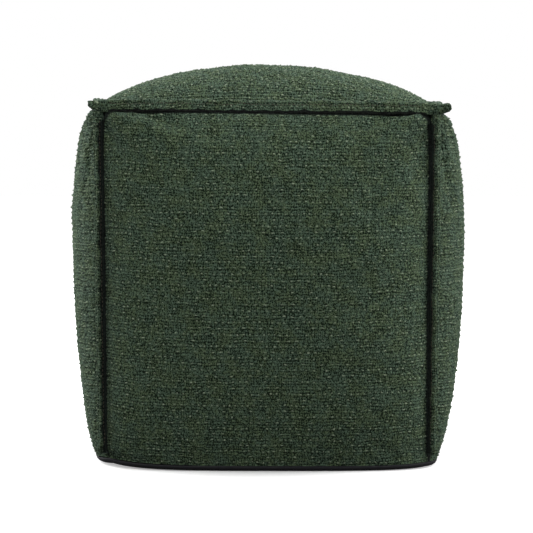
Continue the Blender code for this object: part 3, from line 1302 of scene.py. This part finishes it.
@dataclass
class CoverPanel:
    """One square of boucle cloth, stretched over the filling between its seams."""

    panel: PanelPlace
    form: PoufForm
    filling: Filling
    weave: BoucleWeave
    lines_to_row: int = 3
    across_pitch: float = 0.00184
    fewest_lines: int = 8
    probe_points: int = 801
    probe_lines: int = 13
    probe_reach: float = 0.9
    level: Loft = Loft(lump=1.2, cord=0.9)
    facing: Loft = Loft(lump=0.6, cord=0.05)
    flanking: Loft = Loft(depth=1.7, lump=0.7, cord=0.1)
    piece: bpy.types.Object = field(init=False)
    flat: tuple[float, float] = field(init=False)

    @property
    def loft(self) -> Loft:
        """How far this panel's cloth stands up: its rows are pushed together on top, and its knots beside.

        Returns:
            The loft of the top, of the two side panels, or of the front and back.
        """
        if self.panel is PanelPlace.TOP:
            return self.level
        return self.flanking if self.panel in (PanelPlace.LEFT, PanelPlace.RIGHT) else self.facing

    def even_lines(self, pitch: float, upward: bool) -> tuple[np.ndarray, np.ndarray]:
        """Lines that are evenly spaced along the cloth.

        Args:
            pitch: the distance between them.
            upward: whether they follow each other up the panel, and not across it.

        Returns:
            Their places from -1 to 1, and their distances along the cloth from its middle.
        """
        along = np.linspace(-1, 1, self.probe_points)
        cross = np.linspace(-self.probe_reach, self.probe_reach, self.probe_lines)
        grid = np.meshgrid(along, cross, indexing="ij")
        a, b = (grid[1], grid[0]) if upward else (grid[0], grid[1])
        steps = np.linalg.norm(np.diff(self.panel.points(self.form, a, b), axis=0), axis=2).mean(axis=1)
        length = np.concatenate([[0], np.cumsum(steps)])
        count = max(self.fewest_lines, round(length[-1] / pitch))
        distance = np.linspace(0, length[-1], count + 1)
        return np.interp(distance, length, along), distance - length[-1] / 2

    def build(self, relief: bpy.types.NodeTree) -> None:
        """Make the panel's mesh and raise its weave.

        Args:
            relief: the group that raises the weave.
        """
        a, across = self.even_lines(self.across_pitch, upward=False)
        b, up = self.even_lines(self.weave.row_pitch * MM / self.lines_to_row, upward=True)
        mesh = bmesh.new()
        bmesh.ops.create_grid(mesh, x_segments=len(a) - 1, y_segments=len(b) - 1, size=1)
        data = finished(mesh, "panel_" + self.panel.word)
        grid = mesh_points(data)
        column = np.rint((grid[:, 0] + 1) / 2 * (len(a) - 1)).astype(int)
        row = np.rint((grid[:, 1] + 1) / 2 * (len(b) - 1)).astype(int)
        places = self.panel.points(self.form, a[column], b[row])
        places = places + self.filling.moved(self.panel, a, b)[row, column]
        place_points(data, places)
        self.face_out(data)
        set_map(data, np.stack([across[column], up[row]], axis=-1))
        set_value(data, SEAM_GAP, self.painted_shade_share(a[column], b[row]))
        self.flat = (2 * float(across[-1]), 2 * float(up[-1]))
        self.piece = new_object(data.name, data)
        self.weave.raise_cloth(self.piece, relief, self.loft)

    def painted_shade_share(self, a: np.ndarray, b: np.ndarray) -> np.ndarray:
        """How far the panel's points are from the painted shade in its seam creases, in widths of that shade.

        Args:
            a: -1..1 across it.
            b: -1..1 up it.

        Returns:
            0 in the middle of the painted crease shade and 1 at its edge.
        """
        if self.panel is PanelPlace.TOP:
            half, width = self.form.seam_half_top, self.form.head_painted_shade
            return self.form.painted_shade_share((1 - np.abs(a)) * half, (1 - np.abs(b)) * half, width)
        way = Way[self.panel.name]
        width = self.form.corner_value(way, a, "side_painted_shade")
        return self.form.painted_shade_share(*self.form.seam_distances(way, a, b), width)

    @staticmethod
    def face_out(data: bpy.types.Mesh) -> None:
        """Turn a panel's faces away from the middle of the pouf.

        Args:
            data: the panel's mesh.
        """
        face = data.polygons[len(data.polygons) // 2]
        middle = (CAD_BOX[0] + CAD_BOX[1]) / 2
        if face.normal.dot(face.center - middle) < 0:
            data.flip_normals()

    def dress(self, material: bpy.types.Material) -> None:
        """Give the panel its finish and its place in the frame.

        Args:
            material: its finish.
        """
        dress_piece(self.piece, material, "body")


@dataclass
class SeamLip:
    """A pinched seam: two folded layers of cloth that stand out along an edge, stitched together."""

    name: str
    form: PoufForm
    weave: BoucleWeave
    reach: float = 0.0115
    layer: float = 0.0029
    sunk: float = 0.0035
    pinch: float = 0.3
    pinch_run: float = 0.0065
    stitch_reach: float = 0.0062
    stitch_dent: float = 0.22
    stitch_run: float = 0.0011
    along_pitch: float = 0.0016
    around_pitch: float = 0.0014
    map_step: float = 0.37
    # the painted shade in the crease at the lip's root: how it sways along the seam, where it begins and how
    # it fades at the top corners
    painted_shade_sway: Sway = Sway(0.35, 0.022, 80)
    painted_shade_start: float = 0.0  # from its root down to where the painted shade in its crease begins
    painted_shade_fade: float = 3.0
    loft: Loft = Loft(depth=0.6)
    seed: int = 0
    piece: bpy.types.Object = field(init=False)

    def section(self, around: np.ndarray) -> tuple[np.ndarray, np.ndarray]:
        """The lip's outline: up a flank, over both rounded folds and down the other flank.

        Args:
            around: distance along the outline, from the middle of the lip's tip.

        Returns:
            Distances across the lip and out from its root.
        """
        radius = self.layer / 2
        fold = math.pi * radius
        side = np.where(around < 0, -1, 1)
        beyond = np.abs(around)
        angle = np.clip(beyond / radius, 0, math.pi)
        across = radius - radius * np.cos(angle)
        reach = self.reach - radius + radius * np.sin(angle) - np.maximum(beyond - fold, 0)
        return side * across * self.fullness(reach), reach

    def fullness(self, reach: np.ndarray) -> np.ndarray:
        """Share of its thickness that the lip has at a distance out from its root, less at its stitches.

        Args:
            reach: distance out from its root.

        Returns:
            The share.
        """
        pinch = self.pinch + (1 - self.pinch) * smooth_step(reach / self.pinch_run)
        dent = self.stitch_dent * np.exp(-(((reach - self.stitch_reach) / self.stitch_run) ** 2))
        return pinch * (1 - dent)

    def build(self, relief: bpy.types.NodeTree) -> None:
        """Make the lip's mesh and raise its weave.

        Args:
            relief: the group that raises the weave.
        """
        length = self.length()
        half_round = math.pi * self.layer / 2 + self.reach - self.layer / 2 + self.sunk
        columns = round(length / self.along_pitch)
        rows = 2 * round(half_round / self.around_pitch)
        mesh = bmesh.new()
        bmesh.ops.create_grid(mesh, x_segments=columns, y_segments=rows, size=1)
        data = finished(mesh, "lip_" + self.name)
        grid = mesh_points(data)
        along, around = (grid[:, 0] + 1) / 2, grid[:, 1] * half_round
        across, reach = self.section(around)
        place_points(data, self.placed(along, across, reach))
        set_map(data, self.cloth_map(along * length + self.seed * self.map_step, around))
        set_value(data, SEAM_GAP, self.painted_shade_share(along, reach))
        self.close_and_turn(data)
        self.piece = new_object(data.name, data)
        self.weave.raise_cloth(self.piece, relief, self.loft)

    def painted_shade_share(self, along: np.ndarray, reach: np.ndarray) -> np.ndarray:
        """How far the lip's points are from the painted shade in the crease at its root, in widths of that
        shade.

        Args:
            along: share of the seam's length.
            reach: distance out from the lip's root.

        Returns:
            0 in the middle of the painted crease shade, which ends before the top corners.
        """
        metres = along * self.length()
        uneven = 1 + self.painted_shade_sway.at(metres, self.seed)
        root = np.maximum(reach + self.painted_shade_start, 0) * uneven / self.crease_width()
        cornered = np.maximum(1 - self.corner_distance(metres) / self.form.corner_radius, 0)
        return root + cornered * self.painted_shade_fade

    def crease_width(self) -> float:
        """Width of the painted shade in the crease at the lip's root."""
        raise NotImplementedError

    def corner_distance(self, metres: np.ndarray) -> np.ndarray:
        """Distance along the seam to the nearer top corner."""
        return self.length() - metres

    @staticmethod
    def close_and_turn(data: bpy.types.Mesh) -> None:
        """Close the lip's root and ends, and turn its faces outwards.

        Args:
            data: the mesh to close.
        """
        mesh = bmesh.new()
        mesh.from_mesh(data)
        edges = [edge for edge in mesh.edges if edge.is_boundary]
        bmesh.ops.holes_fill(mesh, edges=edges, sides=0)
        bmesh.ops.recalc_face_normals(mesh, faces=mesh.faces[:])
        mesh.to_mesh(data)
        mesh.free()
        data.shade_smooth()

    def length(self) -> float:
        """Length of the seam."""
        raise NotImplementedError

    def cloth_map(self, along: np.ndarray, around: np.ndarray) -> np.ndarray:
        """The cloth map of points at a distance along the seam and around the lip: rows go around it."""
        return np.stack([around, along], axis=-1)

    def placed(self, along: np.ndarray, across: np.ndarray, reach: np.ndarray) -> np.ndarray:
        """World places of the lip's points.

        Args:
            along: share of the seam's length.
            across: distance across the lip.
            reach: distance out from its root.

        Returns:
            World places.
        """
        raise NotImplementedError

    def dress(self, material: bpy.types.Material) -> None:
        """Give the lip its finish and its place in the frame."""
        dress_piece(self.piece, material, self.name.replace("_", "_seam_", 1))


@dataclass
class TopSeam(SeamLip):
    """The lip along the top of one side."""

    way: Way = Way.FRONT
    layer: float = 0.0034
    pinch: float = 0.8
    painted_shade_start: float = 0.0021
    rise: float = math.radians(108)
    end_rise: float = math.radians(84)
    end_reach: float = -0.19
    end_run: float = 0.020
    crease_over_panels: float = 1.5  # width of its painted crease shade over that of the panel's
    rise_sway: Sway = Sway(math.radians(7), 0.09, 0)
    reach_sway: Sway = Sway(0.07, 0.03, 20)
    across_sway: Sway = Sway(0.10, 0.025, 40)

    def crease_width(self) -> float:
        """Width of the painted shade in the crease at the lip's root."""
        return self.form.head_painted_shade * self.crease_over_panels

    def length(self) -> float:
        """Length of the seam, corner to corner."""
        return 2 * self.form.seam_half_top

    def corner_distance(self, metres: np.ndarray) -> np.ndarray:
        """Distance along the seam to the nearer top corner."""
        return np.minimum(metres, self.length() - metres)

    def cloth_map(self, along: np.ndarray, around: np.ndarray) -> np.ndarray:
        """The cloth map, with its rows along the seam as on the side panel."""
        return np.stack([along, around], axis=-1)

    def placed(self, along: np.ndarray, across: np.ndarray, reach: np.ndarray) -> np.ndarray:
        """World places of the lip's points; both ends lie on the corners' diagonals.

        Args:
            along: share of the seam's length.
            across: distance across the lip.
            reach: distance out from its root.

        Returns:
            World places.
        """
        a = 2 * along - 1
        metres = along * self.length()
        flare = np.exp(-self.corner_distance(metres) / self.end_run)
        rise = self.rise + (self.end_rise - self.rise) * flare
        rise = rise + self.rise_sway.at(metres, self.seed) * (1 - flare)
        reach = reach * (1 + self.end_reach * flare)
        reach = reach * (1 + self.reach_sway.at(metres, self.seed))
        across = across * (1 + self.across_sway.at(metres, self.seed))
        root = self.form.top_seam_out(a)
        out = root + reach * np.cos(rise) - across * np.sin(rise)
        up = self.form.seam_height(self.way, a) + reach * np.sin(rise) + across * np.cos(rise)
        return turned(a * self.form.seam_half_top * out / root, out, up, self.way.value)


@dataclass
class UprightSeam(SeamLip):
    """The lip down one upright corner."""

    way: Way = Way.FRONT
    foot: float = 0.0155
    head_drop: float = 0.002
    lift_share: float = 0.35
    lift_power: int = 8
    painted_shade_sway: Sway = Sway(0.12, 0.022, 80)
    side_sway: Sway = Sway(0.0006, 0.12, 0)
    reach_sway: Sway = Sway(0.06, 0.05, 20)
    across_sway: Sway = Sway(0.08, 0.03, 40)

    def crease_width(self) -> float:
        """Width of the painted shade in the crease at the lip's root."""
        return self.form.corners[self.way.value].lip_crease

    def length(self) -> float:
        """Length of the seam, from the base panel to the top seam."""
        return self.form.corners[self.way.value].seam_height - self.head_drop - self.foot

    def placed(self, along: np.ndarray, across: np.ndarray, reach: np.ndarray) -> np.ndarray:
        """World places of the lip's points, on the diagonal through its corner.

        Args:
            along: share of the seam's length.
            across: distance across the lip.
            reach: distance out from its root.

        Returns:
            World places.
        """
        corner = self.form.corners[self.way.value]
        metres = along * self.length()
        lift = np.where(reach > 0, self.lift_share, 0.0) * corner.base_lift * (1 - along) ** self.lift_power
        height = self.foot + metres + lift
        foot = self.form.rim_radius + corner.base_lift + self.form.gap
        t = np.clip((height - foot) / (corner.seam_height - foot), 0, 1)
        half = self.form.upright_half(self.way, np.ones_like(t), t)
        reach = reach * (1 + self.reach_sway.at(metres, self.seed))
        sway = self.side_sway.at(metres, self.seed) * np.clip(reach / self.reach, 0, 1)
        across = across * (1 + self.across_sway.at(metres, self.seed)) + sway
        slant = math.sqrt(0.5)
        along_side, out = half + (reach + across) * slant, half + (reach - across) * slant
        return turned(along_side, out, height, self.way.value)


@dataclass
class SeamStitches:
    """The row of thread stitches through a lip, seen on both of its flanks."""

    seam: SeamLip
    stitch: float = 0.0034
    gap: float = 0.0011
    thickness: float = 0.00075
    proud: float = 0.0006
    margin: float = 0.010
    stray: Sway = Sway(0.0005, 0.05, 60)
    sides: int = 6
    rings: int = 4
    piece: bpy.types.Object = field(init=False)

    def build(self) -> None:
        """Make one lip's stitches as one mesh: beads drawn out in the lip's own space, then led along it."""
        length, pitch = self.seam.length(), self.stitch + self.gap
        count = int((length - 2 * self.margin) / pitch)
        first = length / 2 - (count - 1) / 2 * pitch
        ball = {"u_segments": self.sides, "v_segments": self.rings, "radius": 0.5}
        mesh = bmesh.new()
        for number in range(count):
            for flank in (-1, 1):
                bead = bmesh.ops.create_uvsphere(mesh, **ball)["verts"]
                bmesh.ops.rotate(mesh, verts=bead, matrix=Matrix.Rotation(math.pi / 2, 3, "Y"))
                bmesh.ops.scale(mesh, verts=bead, vec=(self.stitch, self.thickness, self.thickness))
                bmesh.ops.translate(mesh, verts=bead, vec=(first + number * pitch, flank, 0))
        data = finished(mesh, "thread_" + self.seam.name)
        beads = mesh_points(data)
        flank = np.sign(beads[:, 1])
        reach = self.seam.stitch_reach + self.stray.at(beads[:, 0], self.seam.seed)
        half = self.seam.layer * self.seam.fullness(reach) + self.proud
        across = flank * (np.abs(beads[:, 1]) - 1) + flank * half
        place_points(data, self.seam.placed(beads[:, 0] / length, across, reach + beads[:, 2]))
        SeamLip.close_and_turn(data)
        self.piece = new_object(data.name, data)

    def dress(self, material: bpy.types.Material) -> None:
        """Give the stitches their finish and their place in the frame."""
        dress_piece(self.piece, material)


@dataclass(frozen=True)
class EarForm:
    """How one corner ear stands out from the top seam's corner."""

    heading: float  # from straight out of its side towards the next one, in degrees
    reach: float
    rise: float  # height of its tip's middle over the seam
    half_width: float
    half_height: float


@dataclass
class CornerEar:
    """The knob where the lips meet at a top corner: the end of the folded seam, rolled on itself."""

    form: PoufForm
    weave: BoucleWeave
    way: Way
    inside: float = 0.007
    bluntness: float = 0.72
    crease: float = 0.24
    crease_width: float = 0.0011
    knobbly: float = 0.09
    knob_turn: float = 2.6
    knob_waves: int = 6
    knob_phase: float = 6.0
    knob_level: float = 4.0
    knob_seed: int = 70
    lift: float = 0.0012
    map_step: float = 0.11
    map_slant: float = 0.9
    loft: Loft = Loft(depth=0.5)
    forms: tuple[EarForm, ...] = (
        EarForm(62, 0.0232, 0.0056, 0.0046, 0.0056),
        EarForm(47, 0.0170, 0.0066, 0.0042, 0.0050),
        EarForm(43, 0.0165, 0.0068, 0.0040, 0.0052),
        EarForm(40, 0.0182, 0.0054, 0.0047, 0.0051),
    )
    piece: bpy.types.Object = field(init=False)

    @property
    def corner(self) -> CornerForm:
        """The corner that it sits on."""
        return self.form.corners[self.way.value]

    def build(self, relief: bpy.types.NodeTree) -> None:
        """Make the ear's mesh: a blunt ball drawn out along its heading, creased between its two layers.

        Args:
            relief: the group that raises the weave.
        """
        ear = self.forms[self.way.value]
        mesh = bmesh.new()
        bmesh.ops.create_icosphere(mesh, subdivisions=5, radius=1)
        data = finished(mesh, "ear_" + self.corner.name)
        ball = mesh_points(data)
        ball = np.sign(ball) * np.abs(ball) ** self.bluntness
        ball = ball * (1 + self.knobbly * self.knobs(ball)[:, None])
        forward = (ball[:, 0] + 1) / 2 * (ear.reach + self.inside) - self.inside
        sideways, upward = ball[:, 1] * ear.half_width, ball[:, 2] * ear.half_height
        layers = 1 - self.crease * np.exp(-((sideways / self.crease_width) ** 2))
        forward = np.where(forward > 0, forward * (1 + layers) / 2, forward)
        upward = upward * layers
        along_seam = np.clip(forward / ear.reach, 0, 1)
        height = self.corner.seam_height + self.lift + (ear.rise - self.lift) * along_seam + upward
        heading = math.radians(ear.heading)
        out = forward * math.cos(heading) - sideways * math.sin(heading)
        along = forward * math.sin(heading) + sideways * math.cos(heading)
        half = self.form.seam_half_top
        place_points(data, turned(half + along, half + out, height, self.way.value))
        cloth = [forward + self.way.value * self.map_step, upward + sideways * self.map_slant]
        set_map(data, np.stack(cloth, axis=-1))
        # seam gap from 1 at its root, which takes part of the painted crease shade, to 2 at its tip
        set_value(data, SEAM_GAP, np.maximum(forward, 0) / ear.reach + 1)
        self.piece = new_object(data.name, data)
        self.weave.raise_cloth(self.piece, relief, self.loft)

    def knobs(self, ball: np.ndarray) -> np.ndarray:
        """An uneven swell over the ear, around 0.

        Args:
            ball: points of a ball of radius 1.

        Returns:
            The swell, around 0.
        """
        rng = np.random.default_rng(self.way.value + self.knob_seed)
        waves = [
            np.sin(ball @ (rng.normal(size=3) * self.knob_turn) + rng.random() * self.knob_phase)
            for _ in range(self.knob_waves)
        ]
        return sum(waves) / self.knob_level

    def dress(self, material: bpy.types.Material) -> None:
        """Give the ear its finish and its place in the frame."""
        dress_piece(self.piece, material)


@dataclass
class BasePanel:
    """The black cloth under the pouf, its edge turned up as a thin strip."""

    form: PoufForm
    segments: int = 288
    rim_steps: int = 6
    sheet: float = 0.002
    trim: float = math.radians(4)
    insets: tuple[float, ...] = (0.020, 0.050)
    piece: bpy.types.Object = field(init=False)

    def section(self, offset: float) -> list[tuple[float, float]]:
        """Insets and heights down one face of the sheet, from its rim to its flat middle.

        Args:
            offset: how far this face lies inside the outer one.

        Returns:
            An inset and a height for each ring.
        """
        radius = self.form.rim_radius
        arc, steps = math.pi / 2 - self.trim, range(self.rim_steps + 1)
        angles = [self.trim + arc * step / self.rim_steps for step in steps]
        turned_up = [
            (radius - (radius - offset) * math.cos(angle), radius - (radius - offset) * math.sin(angle))
            for angle in angles
        ]
        return turned_up + [(inset, offset) for inset in self.insets]

    def build(self) -> None:
        """Make the panel's mesh: a disc drawn down ring by ring, then led to the outline."""
        section = self.section(0.0)[::-1] + self.section(self.sheet)
        mesh = bmesh.new()
        bmesh.ops.create_circle(mesh, cap_ends=True, segments=self.segments, radius=1)
        mesh.faces.ensure_lookup_table()
        face = mesh.faces[0]
        for _ in range(len(section) - 1):
            closed = not any(edge.is_boundary for edge in face.edges)
            made = bmesh.ops.extrude_face_region(mesh, geom=[face])["geom"]
            if closed:
                bmesh.ops.delete(mesh, geom=[face], context="FACES_ONLY")
            face = next(item for item in made if isinstance(item, bmesh.types.BMFace))
            bmesh.ops.translate(mesh, verts=face.verts[:], vec=(0, 0, -1))
        data = finished(mesh, "base_cloth")
        disc = mesh_points(data)
        ring = np.rint(-disc[:, 2]).astype(int)
        insets, heights = np.array(section)[ring].T
        place_points(data, self.placed(np.arctan2(disc[:, 1], disc[:, 0]), insets, heights))
        SeamLip.close_and_turn(data)
        self.piece = new_object(data.name, data)

    def placed(self, angle: np.ndarray, insets: np.ndarray, heights: np.ndarray) -> np.ndarray:
        """World places of the panel's points, on rays from its middle.

        Args:
            angle: each point's heading, anticlockwise from +X.
            insets: distances in from the rim.
            heights: heights over the floor.

        Returns:
            World places.
        """
        x, y = np.cos(angle), np.sin(angle)
        places = np.zeros((len(angle), 3))
        for way in Way:
            along, out = (x, -y)
            for _ in range(way.value):
                along, out = -out, along
            on = out >= np.abs(along) - TINY
            share = along[on] / out[on]
            side = self.form.sides[way.value]
            corner_half = self.form.corner_value(way, share, "base_half")
            power = math.log(2) / np.log(side.base_half / corner_half)
            reach = side.base_half * (1 + np.abs(share) ** power) ** (-1 / power)
            reach = reach * (1 - insets[on] / side.base_half)
            lift = self.form.corner_value(way, share, "base_lift") * np.abs(share) ** self.form.lift_power
            lift = lift * (1 - insets[on] / self.insets[-1]) ** 2
            places[on] = turned(share * reach, reach, heights[on] + lift, way.value)
        return places

    def dress(self, material: bpy.types.Material) -> None:
        """Give the panel its finish and its place in the frame.

        Args:
            material: its finish.
        """
        dress_piece(self.piece, material, "base_panel")


@dataclass(frozen=True)
class SoftLight:
    """A rectangular soft light that faces the pouf."""

    name: str
    place: tuple[float, float, float]
    size: tuple[float, float]
    power: float


@dataclass
class Studio:
    """A pale floor, soft lights and the camera, none of them part of the pouf."""

    eye: tuple[float, float, float] = (0.030, -2.7515, 0.41)
    aim: tuple[float, float, float] = (-0.0028, 0.0, 0.2120)
    lens: float = 157.6
    film: float = 36.0
    sight: float = 50.0
    floor_size: float = 14.0
    # the painted shadow on the floor: its glow is low within these distances of this middle
    shade_middle: tuple[float, float, float] = (0.0, -0.10, 0.0)
    shade_half: float = 0.20
    shade_run: tuple[float, float] = (0.46, 1.05)
    shade_glow: float = 0.54
    far_run: tuple[float, float] = (0.30, 0.80)
    floor_bounce: float = 0.20
    floor_colour: Colour = (0.9, 0.9, 0.9)
    floor_roughness: float = 0.9
    surround: float = 0.10
    lights: tuple[SoftLight, ...] = (
        SoftLight("overhead", (0.0, 0.5, 2.2), (2.0, 2.0), 3),
        SoftLight("front_top", (0.0, -1.65, 1.35), (1.6, 1.0), 19),
        SoftLight("left", (-1.7, -0.4, 1.2), (1.0, 1.6), 13),
        SoftLight("right", (1.8, -0.25, 1.2), (1.0, 1.6), 39),
        SoftLight("left_rim", (-1.7, 0.7, 1.15), (0.8, 1.4), 35),
        SoftLight("back", (0.0, 2.4, 1.5), (2.0, 1.2), 15),
    )

    def build(self) -> None:
        """Make all of it."""
        self.add_camera()
        self.add_floor()
        self.add_surround()
        for light in self.lights:
            self.add_light(light)

    def add_camera(self) -> None:
        """The camera at the photograph's place."""
        data = bpy.data.cameras.new("camera")
        data.lens = self.lens
        data.sensor_width = self.film
        data.clip_end = self.sight
        camera = new_object("camera", data)
        camera.location = self.eye
        camera.rotation_euler = (Vector(self.aim) - Vector(self.eye)).to_track_quat("-Z", "Y").to_euler()
        bpy.context.scene.camera = camera

    def add_floor(self) -> None:
        """A plain pale floor whose glow is low near the pouf, a painted shadow, and rises to white away from
        it; it lights the pouf only weakly.
        """
        mesh = bmesh.new()
        bmesh.ops.create_grid(mesh, x_segments=1, y_segments=1, size=self.floor_size / 2)
        floor = new_object("floor", finished(mesh, "floor"))
        made, graph, seen = new_material("Pale floor")
        place = graph.out(graph.node("ShaderNodeTexCoord"), "Object")
        # painted shadow: little glow near the pouf, rising away from it; further out the floor glows to white
        near = graph.measured("DISTANCE", place, self.shade_middle)
        run = [share * self.shade_half for share in self.shade_run]
        glow = graph.stepped(near, *run, 0.0, self.shade_glow)
        far = graph.stepped(graph.measured("LENGTH", place), *self.far_run, 0.0, 1.0 - self.shade_glow)
        glow = glow + far
        inputs = {
            "Base Color": (*self.floor_colour, 1),
            "Roughness": self.floor_roughness,
            "Specular IOR Level": 0.0,
            "Emission Color": graph.joined(glow, glow, glow),
            "Emission Strength": 1.0,
        }
        graph.feed(seen, inputs)
        bounce = (self.floor_bounce, self.floor_bounce, self.floor_bounce, 1)
        dull = graph.out(graph.node("ShaderNodeBsdfDiffuse", {"Color": bounce}))
        surface = graph.camera_sees(graph.out(seen), dull)
        graph.feed(made.node_tree.nodes["Material Output"], {0: surface})
        floor.data.materials.append(made)

    def add_surround(self) -> None:
        """A white surround: full for the camera, softer as light."""
        world = bpy.data.worlds.new("surround")
        world.use_nodes = True
        world.node_tree.nodes.clear()
        bpy.context.scene.world = world
        graph = Graph(world.node_tree)
        seen, lit = [
            graph.out(graph.node("ShaderNodeBackground", {"Color": (1, 1, 1, 1), "Strength": strength}))
            for strength in (1.0, self.surround)
        ]
        graph.node("ShaderNodeOutputWorld", {0: graph.camera_sees(seen, lit)})
        bpy.context.scene.view_settings.view_transform = "Standard"

    def add_light(self, light: SoftLight) -> None:
        """Make one soft light.

        Args:
            light: the light.
        """
        data = bpy.data.lights.new(light.name, "AREA")
        data.shape = "RECTANGLE"
        data.size, data.size_y = light.size
        data.energy = light.power
        made = new_object(light.name, data)
        made.location = light.place
        middle = (CAD_BOX[0] + CAD_BOX[1]) / 2
        made.rotation_euler = (middle - Vector(light.place)).to_track_quat("-Z", "Y").to_euler()


def main() -> None:
    """Build the studio and the pouf, piece by piece."""
    logging.basicConfig(level=logging.INFO, format="%(name)s: %(message)s")
    Studio().build()
    form = PoufForm()
    filling = Filling(form)
    filling.swell()
    weave = BoucleWeave()
    relief = weave.relief()
    finish = BoucleFinish(weave)
    cloth = finish.material(finish.group())
    pieces = [CoverPanel(panel, form, filling, weave) for panel in PanelPlace]
    for way in Way:
        pieces.append(TopSeam(f"top_{way.word}", form, weave, way=way, seed=way.value))
    for way in Way:
        name = f"upright_{form.corners[way.value].name}"
        pieces.append(UprightSeam(name, form, weave, way=way, seed=10 + way.value))
    pieces += [CornerEar(form, weave, way) for way in Way]
    for part in pieces:
        part.build(relief)
    trims = [(SeamStitches(seam), ThreadFinish) for seam in pieces if isinstance(seam, SeamLip)]
    trims.append((BasePanel(form), BlackClothFinish))
    for part, _ in trims:
        part.build()
    for part in pieces:
        part.dress(cloth)
        LOG.info("%s: %d faces", part.piece.name, len(part.piece.data.polygons))
    dyed = {kind: kind().material() for kind in (ThreadFinish, BlackClothFinish)}
    for part, kind in trims:
        part.dress(dyed[kind])
        LOG.info("%s: %d faces", part.piece.name, len(part.piece.data.polygons))


if __name__ == "__main__":
    main()
